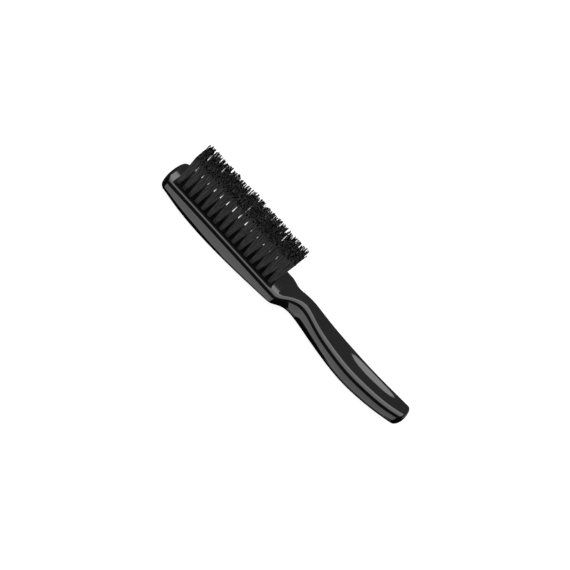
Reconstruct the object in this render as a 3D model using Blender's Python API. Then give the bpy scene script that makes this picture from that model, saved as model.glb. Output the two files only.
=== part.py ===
"""Fade brush: a one-piece moulded head and handle, with staple-set tufts of nylon filaments.

The brush lies on its back with its tufts up. X runs along it, from the nose at -X to the butt at +X.
The origin is under the middle of the brush, on the surface that it lies on. The +Y side is called left.
"""

import math

import bmesh
import bpy
import numpy as np
from mathutils import Matrix

MM = 0.001

# Whole brush
LENGTH = 189 * MM
NOSE_X, BUTT_X = -LENGTH / 2, LENGTH / 2

# Head
FACE_HEIGHT = 12.9 * MM  # of the flat tuft face above the resting plane
HEAD_HALF_WIDTH = 13.4 * MM
HEAD_END_X = -5 * MM  # where the tuft face ends and the neck begins
HEAD_FULLNESS = 3.5  # how square the head's back is in section; 2 is an ellipse

# Back of the head, as (x, height). Its lowest stretch is cut flat, so that the brush lies steady.
BACK_STATIONS = [
    (NOSE_X, 3.5 * MM),
    (-82 * MM, 1.7 * MM),
    (-54 * MM, -0.3 * MM),
    (-24 * MM, 1.65 * MM),
    (HEAD_END_X, 3.8 * MM),
]

# Neck and handle, as (x, half width, height of the top, height of the bottom)
HANDLE_STATIONS = [
    (HEAD_END_X, HEAD_HALF_WIDTH, FACE_HEIGHT, 3.8 * MM),
    (1 * MM, 9.5 * MM, 14.2 * MM, 4.3 * MM),
    (6.5 * MM, 7 * MM, 16.4 * MM, 4.3 * MM),
    (12 * MM, 6.6 * MM, 17.2 * MM, 3.8 * MM),
    (23 * MM, 8 * MM, 15.4 * MM, 2.7 * MM),
    (39 * MM, 9.7 * MM, 13.2 * MM, 1.1 * MM),
    (54 * MM, 10.4 * MM, 12.4 * MM, 0.3 * MM),
    (70 * MM, 9.9 * MM, 13 * MM, 1.4 * MM),
    (84 * MM, 8.7 * MM, 14.6 * MM, 3.7 * MM),
    (BUTT_X, 6.8 * MM, 16.6 * MM, 5.7 * MM),
]
HANDLE_FULLNESS = 2.3
NECK_START_X, NECK_BLEND = -9.5 * MM, 18 * MM  # the head's back turns into the handle's over this length
THUMB_DISH = (64 * MM, 32 * MM, 0.1 * MM)  # in the handle's top: its middle, half length and depth

# All round
EDGE_RADIUS = 3 * MM  # of the rounded edge between the top and the sides
WAIST = 0.34  # depth of the lower end of the straight sides below the top, as a share of the thickness
EDGE_SHARE, WAIST_SHARE = 0.8, 0.95  # most that the edge takes of the half width and of the waist's depth

# Rounded ends, as (length of the rounding in plan, in side view, squareness in plan, height of the tip)
NOSE_END = (5 * MM, 2 * MM, 2.2, 8.8 * MM)
BUTT_END = (4.5 * MM, 3.2 * MM, 2.6, 11.4 * MM)
TIP_CUT = 0.12 * MM  # the first and last sections stand this far inside the tips

# Tufts and the blind holes that they are stapled into
COLUMNS, COLUMN_PITCH, FIRST_COLUMN_X = 16, 5 * MM, -87.1 * MM
ROWS, ROW_PITCH = 5, 3.9 * MM  # side by side
HOLE_RADIUS, HOLE_DEPTH = 1.4 * MM, 6 * MM
FIT_GAP = 0.3 * MM
TUFT_HEIGHT = 21.9 * MM  # of the trimmed tips above the tuft face
TUFT_ROOT = 5.7 * MM  # length of a tuft inside its hole
TIP_HALF_LENGTH = 2.35 * MM  # along X
PAIR_TIP_HALF_WIDTH, MIDDLE_TIP_HALF_WIDTH = 1.95 * MM, 1.9 * MM
PAIR_TIP_MIDDLE, PAIR_TIP_SPACING = 6 * MM, 3.6 * MM  # a pair's tips press against each other
TIP_FAN = 1.015  # how much further apart along X the tips are than the holes
FLARE = 1.6  # how soon a tuft spreads above the face
TIP_SQUARENESS = 1.5  # how far the round section of a tuft turns square towards its tip

# Fineness of the facets
BACK_FACETS, EDGE_FACETS, TOP_FACETS = 12, 3, 6
END_SECTIONS, HEAD_SECTIONS, HANDLE_SECTIONS = 5, 10, 24
TUFT_SIDES, HOLE_SIDES = 8, 8
TUFT_LEVELS = (0.0, 0.25, 0.6, 1.0)  # heights of the sections above the face, as shares of the tuft
WELD = 0.001 * MM
SHARP_ANGLE = math.radians(35)

BODY_COLOUR, BODY_ROUGHNESS = (0.008, 0.008, 0.009, 1), 0.15
FILAMENT_COLOUR, FILAMENT_ROUGHNESS = (0.012, 0.012, 0.013, 1), 0.45


def clear_scene():
    for obj in list(bpy.data.objects):
        bpy.data.objects.remove(obj, do_unlink=True)


def collection_named(name):
    found = bpy.data.collections.new(name)
    bpy.context.scene.collection.children.link(found)
    return found


def plastic(name, colour, roughness):
    material = bpy.data.materials.new(name)
    material.use_nodes = True
    shader = material.node_tree.nodes["Principled BSDF"]
    shader.inputs["Base Color"].default_value = colour
    shader.inputs["Roughness"].default_value = roughness
    shader.inputs["Metallic"].default_value = 0
    return material


def smooth_step(t):
    t = min(max(t, 0.0), 1.0)
    return t * t * (3 - 2 * t)


def spline(stations, column):
    """A curve with steady curvature through one column of the stations, level at the first of them."""
    x = np.array([station[0] for station in stations])
    y = np.array([station[column] for station in stations])
    step, rise = np.diff(x), np.diff(y) / np.diff(x)
    matrix, right = np.zeros((len(x), len(x))), np.zeros(len(x))
    matrix[0, 0] = matrix[-1, -1] = 1
    right[-1] = rise[-1]
    for i in range(1, len(x) - 1):
        matrix[i, i - 1 : i + 2] = step[i], 2 * (step[i - 1] + step[i]), step[i - 1]
        right[i] = 3 * (step[i] * rise[i - 1] + step[i - 1] * rise[i])
    slope = np.linalg.solve(matrix, right)

    def height(at):
        i = int(np.clip(np.searchsorted(x, at) - 1, 0, len(step) - 1))
        t = (at - x[i]) / step[i]
        ends = y[i] * (1 + 2 * t) * (1 - t) ** 2 + y[i + 1] * (3 - 2 * t) * t**2
        bends = slope[i] * t * (1 - t) ** 2 - slope[i + 1] * (1 - t) * t**2
        return float(ends + bends * step[i])

    return height


def end_scales(x):
    """How far the section at x has closed towards a rounded tip (in width, in height, height of that tip)."""
    if x < 0:
        length, side_length, square, tip = NOSE_END
        inside = x - NOSE_X
    else:
        length, side_length, square, tip = BUTT_END
        inside = BUTT_X - x
    plan = max(0.0, 1 - inside / length)
    side = max(0.0, 1 - inside / side_length)
    return (1 - plan**square) ** (1 / square), math.sqrt(1 - side**2), tip


def dish(x, share):
    """The depth of the thumb dish at x, this share of the way from the middle of the top to its edge."""
    middle, half_length, depth = THUMB_DISH
    along = max(0.0, 1 - ((x - middle) / half_length) ** 2)
    return depth * along**2 * (1 - share**2) ** 2


def body_section(x, half_width, top, bottom):
    """The ring of points round the body at x, from the middle of its back round its right side."""
    wide, tall, tip = end_scales(x)
    half_width *= wide
    top, bottom = tip + (top - tip) * tall, tip + (bottom - tip) * tall
    blend = smooth_step((x - NECK_START_X) / NECK_BLEND)
    fullness = HEAD_FULLNESS + (HANDLE_FULLNESS - HEAD_FULLNESS) * blend
    waist = top - WAIST * (top - bottom)
    across, down = min(EDGE_RADIUS, EDGE_SHARE * half_width), min(EDGE_RADIUS, WAIST_SHARE * (top - waist))

    side = []
    for i in range(BACK_FACETS // 2 + 1):
        turn = math.pi * i / BACK_FACETS
        y = half_width * math.sin(turn) ** (2 / fullness)
        z = waist - (waist - bottom) * max(math.cos(turn), 0.0) ** (2 / fullness)
        side.append((y, max(z, 0.0)))
    for i in range(EDGE_FACETS + 1):
        turn = math.pi / 2 * i / EDGE_FACETS
        side.append((half_width - across * (1 - math.cos(turn)), top - down * (1 - math.sin(turn))))
    for i in range(1, TOP_FACETS // 2 + 1):
        share = 1 - 2 * i / TOP_FACETS
        side.append(((half_width - across) * share, top - dish(x, share)))
    right = [(x, -y, z) for y, z in side]
    left = [(x, y, z) for y, z in reversed(side[1:-1])]
    return right + left


def body_sections():
    width, top, bottom = (spline(HANDLE_STATIONS, column) for column in (1, 2, 3))
    back = spline(BACK_STATIONS, 1)
    turns = [math.pi / 2 * i / END_SECTIONS for i in range(END_SECTIONS)]
    nose_length, butt_length = max(NOSE_END[:2]), max(BUTT_END[:2])
    start, end = NOSE_X + nose_length, BUTT_X - butt_length
    places = [start - (nose_length - TIP_CUT) * math.cos(turn) for turn in turns]
    places += list(np.linspace(start, HEAD_END_X, HEAD_SECTIONS, endpoint=False))
    places += list(np.linspace(HEAD_END_X, end, HANDLE_SECTIONS, endpoint=False))
    places += [end + (butt_length - TIP_CUT) * math.cos(turn) for turn in reversed(turns)]
    rings = []
    for x in places:
        if x < HEAD_END_X:
            rings.append(body_section(x, HEAD_HALF_WIDTH, FACE_HEIGHT, back(x)))
        else:
            rings.append(body_section(x, width(x), top(x), bottom(x)))
    return rings


def loft(name, rings):
    """A closed mesh through rings with the same number of points each."""
    bm = bmesh.new()
    loops = [[bm.verts.new(point) for point in ring] for ring in rings]
    count = len(loops[0])
    for lower, upper in zip(loops, loops[1:]):
        for i in range(count):
            bm.faces.new((lower[i], lower[(i + 1) % count], upper[(i + 1) % count], upper[i]))
    bm.faces.new(loops[0])
    bm.faces.new(loops[-1])
    bmesh.ops.dissolve_degenerate(bm, edges=bm.edges, dist=WELD)
    bmesh.ops.recalc_face_normals(bm, faces=bm.faces)
    mesh = bpy.data.meshes.new(name)
    bm.to_mesh(mesh)
    bm.free()
    return mesh


def add_object(name, mesh, collection, material=None):
    obj = bpy.data.objects.new(name, mesh)
    collection.objects.link(obj)
    if material:
        mesh.materials.append(material)
        mesh.shade_smooth()
        mesh.set_sharp_from_angle(angle=SHARP_ANGLE)
    return obj


def add_helper(name, mesh, collection):
    obj = add_object(name, mesh, collection)
    obj.hide_render = True
    obj.display_type = "WIRE"
    return obj


def add_boolean(obj, other, operation):
    modifier = obj.modifiers.new(operation.title(), "BOOLEAN")
    modifier.operation = operation
    modifier.object = other
    modifier.solver = "EXACT"


def column_x(column):
    return FIRST_COLUMN_X + COLUMN_PITCH * column


FIELD_CENTRE_X = column_x((COLUMNS - 1) / 2)


def hole_cutters(name):
    """One bar for each tuft hole, standing out of the face, all in one mesh."""
    bm = bmesh.new()
    length = HOLE_DEPTH + HOLE_RADIUS
    middle_z = FACE_HEIGHT - HOLE_DEPTH + length / 2
    for column in range(COLUMNS):
        for row in range(ROWS):
            place = Matrix.Translation((column_x(column), (row - (ROWS - 1) / 2) * ROW_PITCH, middle_z))
            bmesh.ops.create_cone(bm, cap_ends=True, segments=HOLE_SIDES, radius1=HOLE_RADIUS,
                                  radius2=HOLE_RADIUS, depth=length, matrix=place)
    mesh = bpy.data.meshes.new(name)
    bm.to_mesh(mesh)
    bm.free()
    return mesh


def tuft_rings(column, row_y, tip_y, tip_half_width):
    """Sections of one tuft: round and tight in its hole, square and spread at its trimmed tip."""
    x = column_x(column)
    tip_x = FIELD_CENTRE_X + (x - FIELD_CENTRE_X) * TIP_FAN
    root_radius = HOLE_RADIUS - FIT_GAP
    rings = []
    for share in (-TUFT_ROOT / TUFT_HEIGHT,) + TUFT_LEVELS:
        above = max(share, 0.0)
        spread = 1 - (1 - above) ** FLARE
        half_length = root_radius + (TIP_HALF_LENGTH - root_radius) * spread
        half_width = root_radius + (tip_half_width - root_radius) * spread
        power = 2 / (2 + TIP_SQUARENESS * above)
        ring = []
        for i in range(TUFT_SIDES):
            turn = 2 * math.pi * (i + 0.5) / TUFT_SIDES
            across, along = math.sin(turn), math.cos(turn)
            ring.append((
                x + (tip_x - x) * above + half_length * math.copysign(abs(along) ** power, along),
                row_y + (tip_y - row_y) * above + half_width * math.copysign(abs(across) ** power, across),
                FACE_HEIGHT + share * TUFT_HEIGHT,
            ))
        rings.append(ring)
    return rings


def make_body(parts, cutters):
    material = plastic("moulded_body", BODY_COLOUR, BODY_ROUGHNESS)
    body = add_object("handle_body", loft("handle_body", body_sections()), parts, material)
    holes = add_helper("tuft_holes", hole_cutters("tuft_holes"), cutters)
    add_boolean(body, holes, "DIFFERENCE")
    return body


def make_middle_tuft(column, parts):
    name = f"tuft_middle_{column + 1:02d}"
    material = plastic(name, FILAMENT_COLOUR, FILAMENT_ROUGHNESS)
    add_object(name, loft(name, tuft_rings(column, 0.0, 0.0, MIDDLE_TIP_HALF_WIDTH)), parts, material)


def make_tuft_pair(column, side, side_name, parts, cutters):
    """The two outer tufts of one column on one side, whose spread tips press together."""
    name = f"tuft_pair_{side_name}_{column + 1:02d}"
    material = plastic(name, FILAMENT_COLOUR, FILAMENT_ROUGHNESS)
    meshes = []
    for row, step in ((1, -0.5), (2, 0.5)):
        tip_y = PAIR_TIP_MIDDLE + step * PAIR_TIP_SPACING
        rings = tuft_rings(column, side * row * ROW_PITCH, side * tip_y, PAIR_TIP_HALF_WIDTH)
        meshes.append(loft(name, rings))
    pair = add_object(name, meshes[0], parts, material)
    outer = add_helper(name + "_outer", meshes[1], cutters)
    add_boolean(pair, outer, "UNION")


def main():
    clear_scene()
    parts = collection_named("fade_brush")
    cutters = collection_named("cutters")
    make_body(parts, cutters)
    for column in range(COLUMNS):
        make_middle_tuft(column, parts)
        make_tuft_pair(column, -1, "right", parts, cutters)
        make_tuft_pair(column, 1, "left", parts, cutters)


main()
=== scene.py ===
"""The looks of the fade brush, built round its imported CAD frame.

The CAD body is replaced by the same loft made fine, with 80 real blind holes. Each CAD tuft is replaced by
its folded nylon filaments, each one bent round a flat anchor at the bottom of its hole and cut at both tips.
"""

import math

import bmesh
import bpy
import numpy as np
from mathutils import Matrix, Vector


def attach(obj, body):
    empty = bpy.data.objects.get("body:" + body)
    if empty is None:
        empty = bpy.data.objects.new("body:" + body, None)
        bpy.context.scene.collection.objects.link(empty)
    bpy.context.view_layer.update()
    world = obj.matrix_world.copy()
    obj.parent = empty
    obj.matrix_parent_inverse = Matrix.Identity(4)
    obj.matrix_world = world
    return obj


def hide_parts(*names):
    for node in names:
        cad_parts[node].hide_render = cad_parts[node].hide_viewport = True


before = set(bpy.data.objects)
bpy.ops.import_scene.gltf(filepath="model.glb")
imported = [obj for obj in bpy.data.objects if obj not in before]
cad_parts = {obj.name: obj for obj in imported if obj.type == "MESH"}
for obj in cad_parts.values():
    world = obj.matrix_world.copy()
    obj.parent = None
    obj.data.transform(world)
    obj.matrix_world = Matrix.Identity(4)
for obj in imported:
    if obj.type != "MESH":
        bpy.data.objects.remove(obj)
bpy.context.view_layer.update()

MM = 0.001

# The moulded body: the same driving dimensions as the CAD body's. A back station is (x, height of the back),
# and a handle station is (x, half width, height of the top, height of the back).
NOSE_X, BUTT_X = -94.5 * MM, 94.5 * MM
FACE_HEIGHT = 12.9 * MM
HEAD_HALF_WIDTH = 13.4 * MM
HEAD_END_X = -5 * MM
BACK_STATIONS = [
    (NOSE_X, 3.5 * MM),
    (-82 * MM, 1.7 * MM),
    (-54 * MM, -0.3 * MM),
    (-24 * MM, 1.65 * MM),
    (HEAD_END_X, 3.8 * MM),
]
HANDLE_STATIONS = [
    (HEAD_END_X, HEAD_HALF_WIDTH, FACE_HEIGHT, 3.8 * MM),
    (1 * MM, 9.5 * MM, 14.2 * MM, 4.3 * MM),
    (6.5 * MM, 7 * MM, 16.4 * MM, 4.3 * MM),
    (12 * MM, 6.6 * MM, 17.2 * MM, 3.8 * MM),
    (23 * MM, 8 * MM, 15.4 * MM, 2.7 * MM),
    (39 * MM, 9.7 * MM, 13.2 * MM, 1.1 * MM),
    (54 * MM, 10.4 * MM, 12.4 * MM, 0.3 * MM),
    (70 * MM, 9.9 * MM, 13 * MM, 1.4 * MM),
    (84 * MM, 8.7 * MM, 14.6 * MM, 3.7 * MM),
    (BUTT_X, 6.8 * MM, 16.6 * MM, 5.7 * MM),
]
HEAD_FULLNESS, HANDLE_FULLNESS = 3.5, 2.3  # of the back's superellipse: 2 is an ellipse, more is squarer
NECK_START_X, NECK_BLEND = -9.5 * MM, 18 * MM  # where one fullness turns into the other
THUMB_DISH = (64 * MM, 32 * MM, 0.1 * MM)  # middle, half length, depth
EDGE_RADIUS = 3 * MM
WAIST = 0.34  # how far down the section is widest, as a share of its height
EDGE_SHARE, WAIST_SHARE = 0.8, 0.95  # the most that the edge takes of the half width, and above the waist
NOSE_END = (5 * MM, 2 * MM, 2.2, 8.8 * MM)  # length in plan, in side view, fullness in plan, tip's height
BUTT_END = (4.5 * MM, 3.2 * MM, 2.6, 11.4 * MM)
REST_SOFTNESS = 0.15 * MM  # how gently the back runs into its flat

# Fineness of the visible body
BACK_FACETS, EDGE_FACETS, TOP_FACETS = 72, 16, 24
END_SECTIONS, SECTION_STEP = 24, 0.7 * MM
HOLE_SIDES = 24
BODY_CREASE, FILAMENT_CREASE, ANCHOR_CREASE = 28, 80, 40  # degrees past which an edge is shaded sharp

# The tufts' holes
COLUMNS, COLUMN_PITCH, FIRST_COLUMN_X = 16, 5 * MM, -87.1 * MM
ROWS, ROW_PITCH = 5, 3.9 * MM
HOLE_RADIUS, HOLE_DEPTH = 1.4 * MM, 6 * MM
HOLE_CHAMFER = 0.1 * MM
CUTTER_ABOVE = 1 * MM
FIELD_BORDER = 2.6 * MM  # of matt face with painted shade beside the outer rows

# The tufts. Random parts are standard deviations.
TUFT_HEIGHT, HEIGHT_NOISE = 21.9 * MM, 0.2 * MM
TIP_FAN_X, TIP_FAN_Y, LEAN_NOISE = 1.012, 1.02, 0.2 * MM  # the tips' pitch as a share of the holes', and lean
TIP_HALF_LENGTH, TIP_HALF_WIDTH, SPREAD_NOISE = 2.8 * MM, 2.05 * MM, 0.05
TIP_CORNERS = 0.3  # how far a tuft's tips reach into the corners of its outline
TIP_DOME = 0.9 * MM
NOSE_SPREAD, NECK_SPREAD, SIDE_SPREAD = -0.2 * MM, 0.2 * MM, 0.1 * MM  # more, where no tuft stands beside
NOSE_GATHER = 0.06  # how much less the tufts by the nose spread along the brush
GATHER_FULL, GATHER_NONE = 0.25, 0.75  # shares of the head's length up to which that holds, and where it ends
FLARES = (1.05, 1.25, 1.4, 1.45, 1.45)  # how soon the tufts of each row spread above the face
CLUMPS, CLUMPING = 8, 0.55  # in each half of a tuft, and how far its filaments' tips draw together

# Their filaments
FILAMENT_RADIUS, FILAMENT_SIDES = 0.115 * MM, 5
LEG_PITCH, HEXAGONAL = 0.252 * MM, 0.866  # between legs in a hole, and between their rows as a share of it
LEVELS = (0.0, 0.02, 0.3, 0.6, 0.95, 1.0)  # of a leg's points above the face; the last stretch is the cut tip, darker with painted shade
LEG_START = 0.5 * MM  # above the fold
FOLD_DROP = 0.6  # of a fold below the anchor, as a share of its leg's distance from the middle
SHOULDER_OUT, SHOULDER_DOWN = 0.6, 0.35  # of a fold's shoulders, as shares of that distance and of the drop
ROOT_NOISE, TIP_NOISE = 0.015 * MM, 0.2 * MM
CLUMP_HEIGHT_NOISE, TIP_HEIGHT_NOISE = 0.22 * MM, 0.09 * MM
BOW_NOISE, CURL_NOISE = 0.12 * MM, 0.1 * MM

# The anchors across the holes
ANCHOR = (3.1 * MM, 0.35 * MM, 1.3 * MM)  # length, thickness, height
ANCHOR_LIFT = 1.1 * MM  # of the anchor's lower edge above the bottom of the hole
ANCHOR_BEVEL = 0.05 * MM

SEED = 7

# Materials
BLACK, WHITE = (0, 0, 0, 1), (1, 1, 1, 1)
NOISE_RANGE = (0.35, 0.65)  # most of what a noise texture gives
PLASTIC_IOR, NYLON_IOR = 1.56, 1.53
PLASTIC_TONE, NYLON_TONE = (0.011, 0.011, 0.0117, 1), (0.1, 0.1, 0.103, 1)
SILVER_TONES = (0.52, 0.50, 0.45, 1), (0.66, 0.64, 0.6, 1)
WIRE_ROUGHNESS = (0.25, 0.4)
HAZE_SCALE, PEEL_SCALE, WIRE_SCALE = 55, 420, 1500  # of the noise, in cycles per metre
PEEL_STRENGTH, PEEL_DEPTH = 0.01, 0.02 * MM

# The stage
FLOOR_HALF = 6.0
FLOOR_GREY, FLOOR_ROUGHNESS, FLOOR_GLOW = (0.12, 0.12, 0.12, 1), 0.9, 0.955
CAMERA_DISTANCE, CAMERA_ELEVATION, CAMERA_ROLL = 2.0, math.radians(35), math.radians(47.5)
CAMERA_TARGET = Vector((-5, 0, 13.4)) * MM
VIEW_WIDTH = 316.7 * MM  # of the picture, at the brush
SENSOR = 36.0

SOFTBOX_WIDTH, SOFTBOX_HEIGHT, SOFTBOX_TURN = 1.1, 0.353, math.radians(-3.4)
SOFTBOX_BACK, SOFTBOX_FRONT = 0.4748, -0.256  # the back edge is just past what the flat face mirrors
SOFTBOX_POWER = 2.4 * math.pi  # for each square metre
KEY_PLACE, KEY_SIZE, KEY_POWER = Vector((-0.05, -0.45, 0.65)), 0.3, 8

# The cards seen in reflections. A fade is (one x, another x, the glow at the one, the glow at the other).
CARD_Y, CARD_TOP, CARD_BOTTOM = -0.5, -0.16, -1.1
CARD_LEFT, CARD_RIGHT = -0.5, 0.45
NOSE_BOTTOM, STEP_LEFT, STEP_RIGHT = (-0.6, -0.62), -0.09, -0.045  # the front card is shorter before the nose
FRONT_FADE = (-0.02, 0.07, 1.75, 1.4)
UNDER_BACK, UNDER_FADE = -0.1, (-0.045, 0.1, 0.6, 0.8)
BACK_CARD_Y, BACK_CARD_LENGTH, BACK_CARD_HEIGHTS, BACK_FADE = 0.5, 1.2, (-0.24, -0.02), (0, 1.2, 0.2, 0.6)

# What reflections see of the room, dark in front and below to dim behind and above, and its even light
ROOM_BEHIND, ROOM_ABOVE = (-0.2, 0.6), (-0.1, 0.35)
ROOM_DIM, ROOM_LIGHT = (0.02, 0.19), (0.15, 0.15, 0.15, 1)


def smooth_step(t):
    t = min(max(t, 0.0), 1.0)
    return t * t * (3 - 2 * t)


def spline(stations, column):
    """A curve with steady curvature through one column of the stations, level at the first of them."""
    x = np.array([station[0] for station in stations])
    y = np.array([station[column] for station in stations])
    step, rise = np.diff(x), np.diff(y) / np.diff(x)
    matrix, right = np.zeros((len(x), len(x))), np.zeros(len(x))
    matrix[0, 0] = matrix[-1, -1] = 1
    right[-1] = rise[-1]
    for i in range(1, len(x) - 1):
        matrix[i, i - 1 : i + 2] = step[i], 2 * (step[i - 1] + step[i]), step[i - 1]
        right[i] = 3 * (step[i] * rise[i - 1] + step[i - 1] * rise[i])
    slope = np.linalg.solve(matrix, right)

    def height(at):
        i = int(np.clip(np.searchsorted(x, at) - 1, 0, len(step) - 1))
        t = (at - x[i]) / step[i]
        ends = y[i] * (1 + 2 * t) * (1 - t) ** 2 + y[i + 1] * (3 - 2 * t) * t**2
        bends = slope[i] * t * (1 - t) ** 2 - slope[i + 1] * (1 - t) * t**2
        return float(ends + bends * step[i])

    return height


def end_scales(x):
    """How far the section at x has closed towards a rounded tip, in width and height; and the tip's z."""
    if x < 0:
        length, side_length, square, tip = NOSE_END
        inside = x - NOSE_X
    else:
        length, side_length, square, tip = BUTT_END
        inside = BUTT_X - x
    plan = max(0.0, 1 - inside / length)
    side = max(0.0, 1 - inside / side_length)
    return (1 - plan**square) ** (1 / square), math.sqrt(1 - side**2), tip


def dish(x, share):
    """The depth of the thumb dish at x, this share of the way from the middle of the top to its edge."""
    middle, half_length, depth = THUMB_DISH
    along = max(0.0, 1 - ((x - middle) / half_length) ** 2)
    return depth * along**2 * (1 - share**2) ** 2


def body_section(x, half_width, top, bottom):
    """The ring of points round the body at x, from the middle of its back round its right side."""
    wide, tall, tip = end_scales(x)
    half_width *= wide
    top, bottom = tip + (top - tip) * tall, tip + (bottom - tip) * tall
    blend = smooth_step((x - NECK_START_X) / NECK_BLEND)
    fullness = HEAD_FULLNESS + (HANDLE_FULLNESS - HEAD_FULLNESS) * blend
    waist = top - WAIST * (top - bottom)
    across, down = min(EDGE_RADIUS, EDGE_SHARE * half_width), min(EDGE_RADIUS, WAIST_SHARE * (top - waist))

    side = []
    for i in range(BACK_FACETS // 2 + 1):
        turn = math.pi * i / BACK_FACETS
        y = half_width * math.sin(turn) ** (2 / fullness)
        z = waist - (waist - bottom) * max(math.cos(turn), 0.0) ** (2 / fullness)
        side.append((y, (z + math.hypot(z, REST_SOFTNESS)) / 2))
    for i in range(1, EDGE_FACETS + 1):
        turn = math.pi / 2 * i / EDGE_FACETS
        side.append((half_width - across * (1 - math.cos(turn)), top - down * (1 - math.sin(turn))))
    for i in range(1, TOP_FACETS // 2 + 1):
        share = 1 - 2 * i / TOP_FACETS
        side.append(((half_width - across) * share, top - dish(x, share)))
    right = [(x, -y, z) for y, z in side]
    left = [(x, y, z) for y, z in reversed(side[1:-1])]
    return right + left


def body_sections():
    """The body's rings from nose to butt, closer together where the ends close."""
    width, top, bottom = (spline(HANDLE_STATIONS, column) for column in (1, 2, 3))
    back = spline(BACK_STATIONS, 1)
    turns = [math.pi / 2 * (i + 1) / (END_SECTIONS + 1) for i in range(END_SECTIONS)]
    nose_length, butt_length = max(NOSE_END[:2]), max(BUTT_END[:2])
    start, end = NOSE_X + nose_length, BUTT_X - butt_length
    places = [NOSE_X + nose_length * (1 - math.cos(turn)) for turn in turns]
    places += list(np.linspace(start, end, int((end - start) / SECTION_STEP)))
    places += [BUTT_X - butt_length * (1 - math.cos(turn)) for turn in reversed(turns)]
    rings = []
    for x in places:
        if x < HEAD_END_X:
            rings.append(body_section(x, HEAD_HALF_WIDTH, FACE_HEIGHT, back(x)))
        else:
            rings.append(body_section(x, width(x), top(x), bottom(x)))
    return rings


def add_object(name, data):
    """An object with this mesh, light or camera, in the scene."""
    obj = bpy.data.objects.new(name, data)
    bpy.context.scene.collection.objects.link(obj)
    return obj


def add_mesh_object(name, points, faces, material):
    mesh = bpy.data.meshes.new(name)
    mesh.from_pydata([tuple(p) for p in points], [], faces)
    mesh.materials.append(material)
    return add_object(name, mesh)


def shade(mesh, crease):
    """Smooth shading, but for the edges where the surface turns by more than this many degrees."""
    mesh.shade_smooth()
    mesh.set_sharp_from_angle(angle=math.radians(crease))


def loft(name, rings, material):
    """A closed surface through the rings, with a flat face at each end."""
    count = len(rings[0])
    faces = []
    for r in range(len(rings) - 1):
        for i in range(count):
            j = (i + 1) % count
            faces.append((r * count + i, (r + 1) * count + i, (r + 1) * count + j, r * count + j))
    faces.append(tuple(range(count)))
    faces.append(tuple((len(rings) - 1) * count + i for i in reversed(range(count))))
    return add_mesh_object(name, [p for ring in rings for p in ring], faces, material)


def column_x(column):
    return FIRST_COLUMN_X + COLUMN_PITCH * column


def row_y(row):
    return (row - (ROWS - 1) / 2) * ROW_PITCH


FIELD_CENTRE_X = column_x((COLUMNS - 1) / 2)
FIELD_HALF_LENGTH = COLUMN_PITCH * (COLUMNS - 1) / 2 + HOLE_RADIUS
FIELD_HALF_WIDTH = ROW_PITCH * (ROWS - 1) / 2 + HOLE_RADIUS + FIELD_BORDER


def hole_cutters():
    """Points and faces of one bar for each tuft hole, which widens into a chamfer at the face."""
    profile = [
        (HOLE_RADIUS, -HOLE_DEPTH),
        (HOLE_RADIUS, -HOLE_CHAMFER),
        (HOLE_RADIUS + HOLE_CHAMFER, 0),
        (HOLE_RADIUS + HOLE_CHAMFER + CUTTER_ABOVE, CUTTER_ABOVE),
    ]
    turns = [2 * math.pi * i / HOLE_SIDES for i in range(HOLE_SIDES)]
    points, faces = [], []
    for column in range(COLUMNS):
        for row in range(ROWS):
            x, y = column_x(column), row_y(row)
            first = len(points)
            for radius, z in profile:
                for turn in turns:
                    points.append((x + radius * math.cos(turn), y + radius * math.sin(turn), FACE_HEIGHT + z))
            for level in range(len(profile) - 1):
                for i in range(HOLE_SIDES):
                    j = (i + 1) % HOLE_SIDES
                    low, high = first + level * HOLE_SIDES, first + (level + 1) * HOLE_SIDES
                    faces.append((low + i, low + j, high + j, high + i))
            top = first + (len(profile) - 1) * HOLE_SIDES
            faces.append(tuple(first + i for i in reversed(range(HOLE_SIDES))))
            faces.append(tuple(top + i for i in range(HOLE_SIDES)))
    return points, faces


def make_body(polished, matt_and_shaded):
    """The body with its holes. Its face between the tufts is matt and darker in colour, a painted shade of
    the tufts.
    """
    body = loft("moulded_body", body_sections(), polished)
    points, faces = hole_cutters()
    cutter = add_mesh_object("hole_cutters", points, faces, polished)
    modifier = body.modifiers.new("holes", "BOOLEAN")
    modifier.operation = "DIFFERENCE"
    modifier.object = cutter
    modifier.solver = "EXACT"
    bpy.context.view_layer.update()
    graph = bpy.context.evaluated_depsgraph_get()
    mesh = bpy.data.meshes.new_from_object(body.evaluated_get(graph))
    body.modifiers.clear()
    body.data = mesh
    bpy.data.objects.remove(cutter, do_unlink=True)
    mesh.materials.append(matt_and_shaded)
    # The faces of the tuft field and its border take the matt plastic, whose darker colour is painted shade
    # of the tufts.
    below_holes = FACE_HEIGHT - HOLE_DEPTH - HOLE_CHAMFER
    for face in mesh.polygons:
        x, y, z = face.center
        if abs(x - FIELD_CENTRE_X) < FIELD_HALF_LENGTH and abs(y) < FIELD_HALF_WIDTH and z > below_holes:
            face.material_index = len(mesh.materials) - 1
    shade(mesh, BODY_CREASE)
    return body


def leg_roots():
    """Where the legs of the folded filaments stand in one half of a hole, packed as tightly as they go."""
    room = HOLE_RADIUS - FILAMENT_RADIUS
    y = first = ANCHOR[1] / 2 + FILAMENT_RADIUS
    roots, row = [], 0
    while y < room:
        reach = math.sqrt(room**2 - y**2)
        count = int(2 * reach / LEG_PITCH) + 1
        for i in range(count):
            roots.append(((i - (count - 1) / 2) * LEG_PITCH, y))
        row += 1
        y = first + row * LEG_PITCH * HEXAGONAL
    return np.array(roots)


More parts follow.
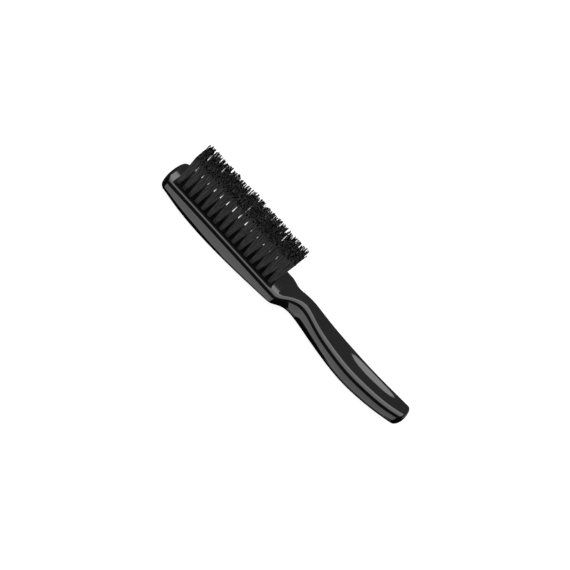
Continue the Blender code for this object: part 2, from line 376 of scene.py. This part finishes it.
def tuft_paths(column, row, random):
    """The centrelines of one tuft's folded filaments: down one leg, round the anchor, and up the other."""
    x, y = column_x(column), row_y(row)
    lean = np.array([(x - FIELD_CENTRE_X) * (TIP_FAN_X - 1), y * (TIP_FAN_Y - 1)])
    lean += random.normal(0, LEAN_NOISE, 2)
    height = TUFT_HEIGHT + random.normal(0, HEIGHT_NOISE)
    spread = np.array([TIP_HALF_LENGTH, TIP_HALF_WIDTH]) * (1 + random.normal(0, SPREAD_NOISE))
    gathered = smooth_step((GATHER_NONE - column / COLUMNS) / (GATHER_NONE - GATHER_FULL))
    spread[0] *= 1 - NOSE_GATHER * gathered
    roots = leg_roots()
    n = len(roots)
    room = HOLE_RADIUS - FILAMENT_RADIUS
    fold_z = -HOLE_DEPTH + ANCHOR_LIFT
    free = np.array([
        [NOSE_SPREAD * (column == 0), NECK_SPREAD * (column == COLUMNS - 1)],
        [SIDE_SPREAD * (row == 0), SIDE_SPREAD * (row == ROWS - 1)],
    ])

    def leg(side):
        """Points of one leg from the fold up to its cut tip, as an array of shape (n, points, 3)."""
        root = roots * np.array([1, side]) + random.normal(0, ROOT_NOISE, (n, 2))
        reach = np.linalg.norm(root, axis=1, keepdims=True) / room
        outward = root / room
        tip = outward * (1 + TIP_CORNERS * np.abs(outward[:, ::-1])) * spread
        loose = np.where(outward < 0, free[:, 0], free[:, 1])
        tip = tip + lean + loose * outward + random.normal(0, TIP_NOISE, (n, 2))
        centres = tip[random.integers(0, n, CLUMPS)]
        clump = np.argmin(np.linalg.norm(tip[:, None] - centres, axis=2), axis=1)
        tip += (centres[clump] - tip) * CLUMPING
        tip_z = height - TIP_DOME * reach[:, 0] ** 2
        tip_z += random.normal(0, CLUMP_HEIGHT_NOISE, CLUMPS)[clump]
        tip_z += random.normal(0, TIP_HEIGHT_NOISE, n)
        bow = random.normal(0, BOW_NOISE, (n, 2))
        curl = random.normal(0, CURL_NOISE, (n, 2))
        points = [np.column_stack([root, np.full(n, fold_z + LEG_START)])]
        for share in LEVELS:
            at = root + (tip - root) * (1 - (1 - share) ** FLARES[row]) + bow * math.sin(math.pi * share)
            at = at + curl * max(0.0, share - LEVELS[-2]) / (1 - LEVELS[-2])
            points.append(np.column_stack([at, tip_z * share]))
        return np.stack(points, axis=1)

    one, other = leg(-1), leg(1)
    deepest = fold_z - np.abs(roots[:, 1]) * FOLD_DROP
    shoulder = deepest * SHOULDER_DOWN + fold_z * (1 - SHOULDER_DOWN)
    bend = np.stack([
        np.column_stack([roots[:, 0], -roots[:, 1] * SHOULDER_OUT, shoulder]),
        np.column_stack([roots[:, 0], np.zeros(n), deepest]),
        np.column_stack([roots[:, 0], roots[:, 1] * SHOULDER_OUT, shoulder]),
    ], axis=1)
    paths = np.concatenate([one[:, ::-1], bend, other], axis=1)
    return paths + np.array([x, y, FACE_HEIGHT])


def tubes(paths, radius, sides):
    """Points, side faces and end faces of a closed tube along every path."""
    n, length = paths.shape[:2]
    tangent = np.gradient(paths, axis=1)
    tangent /= np.linalg.norm(tangent, axis=2, keepdims=True)
    across = np.cross(tangent, np.array([1.0, 0.0, 0.0]))
    across /= np.linalg.norm(across, axis=2, keepdims=True)
    along = np.cross(tangent, across)
    turns = 2 * np.pi * np.arange(sides) / sides
    ring = across[:, :, None] * np.cos(turns)[:, None] + along[:, :, None] * np.sin(turns)[:, None]
    points = (paths[:, :, None] + ring * radius).reshape(-1, 3)
    start = np.arange(n)[:, None, None] * length * sides
    low = start + np.arange(length - 1)[:, None] * sides + np.arange(sides)
    turned = start + np.arange(length - 1)[:, None] * sides + (np.arange(sides) + 1) % sides
    quads = np.stack([low, low + sides, turned + sides, turned], axis=-1).reshape(-1, 4)
    first = start[:, 0] + np.arange(sides)
    last = start[:, 0] + (length - 1) * sides + np.arange(sides)[::-1]
    return points, quads, np.concatenate([first, last])


def make_tuft_piece(node, column, rows, side, cut_tips_shaded):
    """The filaments of one CAD node. Their last stretches and the cut ends are of the cut tip material,
    coloured darker with painted shade.
    """
    random = np.random.default_rng((SEED, column, rows[0]))
    paths = np.concatenate([tuft_paths(column, row, random) for row in rows])
    points, quads, caps = tubes(paths, FILAMENT_RADIUS, FILAMENT_SIDES)
    piece = add_mesh_object("filaments_" + node, points, quads.tolist() + caps.tolist(), side)
    mesh = piece.data
    mesh.materials.append(cut_tips_shaded)
    slots = np.zeros((len(paths), paths.shape[1] - 1, FILAMENT_SIDES), dtype=int)
    slots[:, [0, -1]] = 1
    mesh.polygons.foreach_set("material_index", slots.ravel().tolist() + [1] * len(caps))
    shade(mesh, FILAMENT_CREASE)
    return piece


def make_anchors(column, material):
    """The flat wire anchors of one crosswise row, each across its hole with its ends in the plastic."""
    bm = bmesh.new()
    z = FACE_HEIGHT - HOLE_DEPTH + ANCHOR_LIFT + ANCHOR[2] / 2
    for row in range(ROWS):
        place = Matrix.Translation((column_x(column), row_y(row), z)) @ Matrix.Diagonal((*ANCHOR, 1))
        bmesh.ops.create_cube(bm, size=1, matrix=place)
    bmesh.ops.bevel(bm, geom=bm.edges[:], offset=ANCHOR_BEVEL, segments=2, affect="EDGES")
    mesh = bpy.data.meshes.new(f"anchors_{column + 1:02d}")
    bm.to_mesh(mesh)
    bm.free()
    mesh.materials.append(material)
    shade(mesh, ANCHOR_CREASE)
    return add_object(mesh.name, mesh)


def noise_node(tree, coordinates, scale, detail):
    node = tree.nodes.new("ShaderNodeTexNoise")
    node.inputs["Scale"].default_value = scale
    node.inputs["Detail"].default_value = detail
    tree.links.new(coordinates, node.inputs["Vector"])
    return node.outputs["Fac"]


def range_node(tree, value, from_low, from_high, to_low, to_high):
    """A map of the value from one range to another, which stops at both ends."""
    node = tree.nodes.new("ShaderNodeMapRange")
    numbers = {"From Min": from_low, "From Max": from_high, "To Min": to_low, "To Max": to_high}
    for name, number in numbers.items():
        node.inputs[name].default_value = number
    tree.links.new(value, node.inputs["Value"])
    return node.outputs["Result"]


def mix_node(tree, factor, low, high):
    """A mix of two colours, each of which is a fixed colour or another node's output."""
    node = tree.nodes.new("ShaderNodeMix")
    node.data_type = "RGBA"
    for socket, colour in ((node.inputs["A"], low), (node.inputs["B"], high)):
        if isinstance(colour, tuple):
            socket.default_value = colour
        else:
            tree.links.new(colour, socket)
    tree.links.new(factor, node.inputs["Factor"])
    return node.outputs["Result"]


def new_material(name):
    """A material with its node tree, its shader and the coordinates of the object that it is on."""
    material = bpy.data.materials.new(name)
    material.use_nodes = True
    tree = material.node_tree
    shader = tree.nodes["Principled BSDF"]
    coordinates = tree.nodes.new("ShaderNodeTexCoord").outputs["Object"]
    return material, tree, shader, coordinates


def moulded_plastic(name, specular, roughness, shades):
    """Black plastic with a faint orange peel, and a handling haze that varies its shade and roughness."""
    material, tree, shader, coordinates = new_material(name)
    shader.inputs["IOR"].default_value = PLASTIC_IOR
    shader.inputs["Specular IOR Level"].default_value = specular
    haze = noise_node(tree, coordinates, HAZE_SCALE, detail=5)
    colour = mix_node(tree, range_node(tree, haze, *NOISE_RANGE, *shades), BLACK, PLASTIC_TONE)
    tree.links.new(colour, shader.inputs["Base Color"])
    tree.links.new(range_node(tree, haze, *NOISE_RANGE, *roughness), shader.inputs["Roughness"])
    bump = tree.nodes.new("ShaderNodeBump")
    bump.inputs["Strength"].default_value = PEEL_STRENGTH
    bump.inputs["Distance"].default_value = PEEL_DEPTH
    tree.links.new(noise_node(tree, coordinates, PEEL_SCALE, detail=2), bump.inputs["Height"])
    tree.links.new(bump.outputs["Normal"], shader.inputs["Normal"])
    return material


def nylon(name, specular, roughness, stretch, scale, tones):
    """Black nylon, whose tone and sheen differ a little between the filaments.

    The noise runs along Z at this share of its pace across, and tones are (its lowest and highest values that
    count, and the share of the lighter tone at each).
    """
    material, tree, shader, coordinates = new_material(name)
    shader.inputs["IOR"].default_value = NYLON_IOR
    shader.inputs["Specular IOR Level"].default_value = specular
    scaled = tree.nodes.new("ShaderNodeVectorMath")
    scaled.operation = "MULTIPLY"
    scaled.inputs[1].default_value = (1, 1, stretch)
    tree.links.new(coordinates, scaled.inputs[0])
    tone = noise_node(tree, scaled.outputs["Vector"], scale, detail=1)
    colour = mix_node(tree, range_node(tree, tone, *tones), BLACK, NYLON_TONE)
    tree.links.new(colour, shader.inputs["Base Color"])
    tree.links.new(range_node(tree, tone, *NOISE_RANGE, *roughness), shader.inputs["Roughness"])
    return material


def anchor_metal():
    """Flat nickel-silver wire of uneven tone and polish."""
    material, tree, shader, coordinates = new_material("nickel_silver")
    shader.inputs["Metallic"].default_value = 1
    tone = noise_node(tree, coordinates, WIRE_SCALE, detail=2)
    colour = mix_node(tree, range_node(tree, tone, *NOISE_RANGE, 0, 1), *SILVER_TONES)
    tree.links.new(colour, shader.inputs["Base Color"])
    tree.links.new(range_node(tree, tone, *NOISE_RANGE, *WIRE_ROUGHNESS), shader.inputs["Roughness"])
    return material


def place_piece(piece, slot, *nodes):
    """Fix a piece to the brush, and hide the CAD nodes that it stands for. The finish that slot names is not
    used.
    """
    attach(piece, "root")
    if nodes:
        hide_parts(*nodes)


def make_brush():
    polished = moulded_plastic("gloss_black_plastic", specular=0.5, roughness=(0.02, 0.03),
                               shades=(0.32, 0.48))
    # The matt plastic's darker shades are painted shade of the tufts on the face between them.
    matt_and_shaded = moulded_plastic("matt_black_plastic_painted_shade", specular=0.08, roughness=(0.45, 0.6), shades=(0.12, 0.18))
    place_piece(make_body(polished, matt_and_shaded), "moulded_body", "handle_body")
    side = nylon("black_nylon", specular=0.22, roughness=(0.2, 0.3), stretch=0.1, scale=1500,
                 tones=(0.25, 0.75, 0.28, 0.52))
    # The cut tips are rougher, and their darker tones are painted shade among the tips.
    cut_tips_shaded = nylon("cut_tip_nylon_painted_shade", specular=0.015, roughness=(0.5, 0.6), stretch=1, scale=1000,
                   tones=(0.52, 0.68, 0, 0.75))
    metal = anchor_metal()
    for column in range(COLUMNS):
        for prefix, rows in (("tuft_pair_right", (0, 1)), ("tuft_middle", (2,)), ("tuft_pair_left", (3, 4))):
            node = f"{prefix}_{column + 1:02d}"
            place_piece(make_tuft_piece(node, column, rows, side, cut_tips_shaded), "nylon_filament", node)
        place_piece(make_anchors(column, metal), "anchor_wire")


def make_floor():
    """A pale floor that glows, so that it is evenly white, and that reflections don't see."""
    material, _, shader, _ = new_material("pale_floor")
    shader.inputs["Base Color"].default_value = FLOOR_GREY
    shader.inputs["Roughness"].default_value = FLOOR_ROUGHNESS
    shader.inputs["Emission Color"].default_value = WHITE
    shader.inputs["Emission Strength"].default_value = FLOOR_GLOW
    material.cycles.emission_sampling = "NONE"
    half = FLOOR_HALF
    corners = [(-half, -half, 0), (half, -half, 0), (half, half, 0), (-half, half, 0)]
    floor = add_mesh_object("floor", corners, [range(len(corners))], material)
    floor.visible_glossy = floor.visible_diffuse = False


def make_card(name, corners, fade):
    """A glowing card that is seen only in reflections, and fades along X."""
    material, tree, shader, coordinates = new_material(name)
    shader.inputs["Base Color"].default_value = BLACK
    shader.inputs["Emission Color"].default_value = WHITE
    parts = tree.nodes.new("ShaderNodeSeparateXYZ")
    tree.links.new(coordinates, parts.inputs["Vector"])
    tree.links.new(range_node(tree, parts.outputs["X"], *fade), shader.inputs["Emission Strength"])
    material.cycles.emission_sampling = "NONE"
    card = add_mesh_object(name, corners, [range(len(corners))], material)
    for kind in ("camera", "diffuse", "transmission", "volume_scatter", "shadow"):
        setattr(card, "visible_" + kind, False)


def make_cards():
    """Cards in front of the brush, under it and dimly behind it, which its sides mirror."""
    corners = [
        (CARD_LEFT, CARD_Y, NOSE_BOTTOM[0]),
        (STEP_LEFT, CARD_Y, NOSE_BOTTOM[1]),
        (STEP_RIGHT, CARD_Y, CARD_BOTTOM),
        (CARD_RIGHT, CARD_Y, CARD_BOTTOM),
        (CARD_RIGHT, CARD_Y, CARD_TOP),
        (CARD_LEFT, CARD_Y, CARD_TOP),
    ]
    make_card("front_card", corners, FRONT_FADE)
    corners = [(x, y, CARD_BOTTOM) for x, y in (
        (STEP_RIGHT, CARD_Y), (STEP_RIGHT, UNDER_BACK), (CARD_RIGHT, UNDER_BACK), (CARD_RIGHT, CARD_Y))]
    make_card("under_card", corners, UNDER_FADE)
    low, high = BACK_CARD_HEIGHTS
    corners = [(x, BACK_CARD_Y, z) for x, z in (
        (0, low), (0, high), (BACK_CARD_LENGTH, high), (BACK_CARD_LENGTH, low))]
    make_card("back_card", corners, BACK_FADE)


def make_lights():
    """A softbox over the brush that only reflections see, and a key light that they don't."""
    light = bpy.data.lights.new("softbox", "AREA")
    light.shape = "RECTANGLE"
    light.size, light.size_y = SOFTBOX_WIDTH, SOFTBOX_BACK - SOFTBOX_FRONT
    light.energy = SOFTBOX_POWER * light.size * light.size_y
    softbox = add_object("softbox", light)
    softbox.location = (0, (SOFTBOX_BACK + SOFTBOX_FRONT) / 2, SOFTBOX_HEIGHT)
    softbox.rotation_euler = (0, 0, SOFTBOX_TURN)
    softbox.visible_camera = softbox.visible_diffuse = False

    light = bpy.data.lights.new("key", "AREA")
    light.size = KEY_SIZE
    light.energy = KEY_POWER
    key = add_object("key", light)
    key.location = KEY_PLACE
    key.rotation_euler = (-KEY_PLACE).to_track_quat("-Z", "Y").to_euler()
    key.visible_camera = key.visible_glossy = False


def make_world():
    """A white backdrop, a faint even light, and for reflections a dim room that is dark before the brush."""
    world = bpy.data.worlds.new("studio")
    bpy.context.scene.world = world
    world.use_nodes = True
    tree = world.node_tree
    path = tree.nodes.new("ShaderNodeLightPath")
    parts = tree.nodes.new("ShaderNodeSeparateXYZ")
    tree.links.new(tree.nodes.new("ShaderNodeTexCoord").outputs["Generated"], parts.inputs["Vector"])
    dim = tree.nodes.new("ShaderNodeMath")
    dim.operation = "MULTIPLY"
    tree.links.new(range_node(tree, parts.outputs["Y"], *ROOM_BEHIND, 0, 1), dim.inputs[0])
    tree.links.new(range_node(tree, parts.outputs["Z"], *ROOM_ABOVE, *ROOM_DIM), dim.inputs[1])
    lighting = mix_node(tree, path.outputs["Is Glossy Ray"], ROOM_LIGHT, dim.outputs["Value"])
    backdrop = mix_node(tree, path.outputs["Is Camera Ray"], lighting, WHITE)
    tree.links.new(backdrop, tree.nodes["Background"].inputs["Color"])


def make_camera():
    """A long lens looking along +Y and down, rolled so that the brush runs from upper left to lower right."""
    forward = Vector((0, math.cos(CAMERA_ELEVATION), -math.sin(CAMERA_ELEVATION)))
    along = Vector((1, 0, 0))
    downward = Vector((0, -math.sin(CAMERA_ELEVATION), -math.cos(CAMERA_ELEVATION)))
    right = along * math.cos(CAMERA_ROLL) - downward * math.sin(CAMERA_ROLL)
    up = -(along * math.sin(CAMERA_ROLL) + downward * math.cos(CAMERA_ROLL))
    data = bpy.data.cameras.new("camera")
    data.sensor_width = SENSOR
    data.lens = SENSOR * CAMERA_DISTANCE / VIEW_WIDTH
    camera = add_object("camera", data)
    matrix = Matrix((right, up, -forward)).transposed().to_4x4()
    matrix.translation = CAMERA_TARGET - forward * CAMERA_DISTANCE
    camera.matrix_world = matrix
    bpy.context.scene.camera = camera


make_camera()
make_brush()
make_floor()
make_lights()
make_cards()
make_world()
bpy.context.scene.view_settings.view_transform = "Standard"
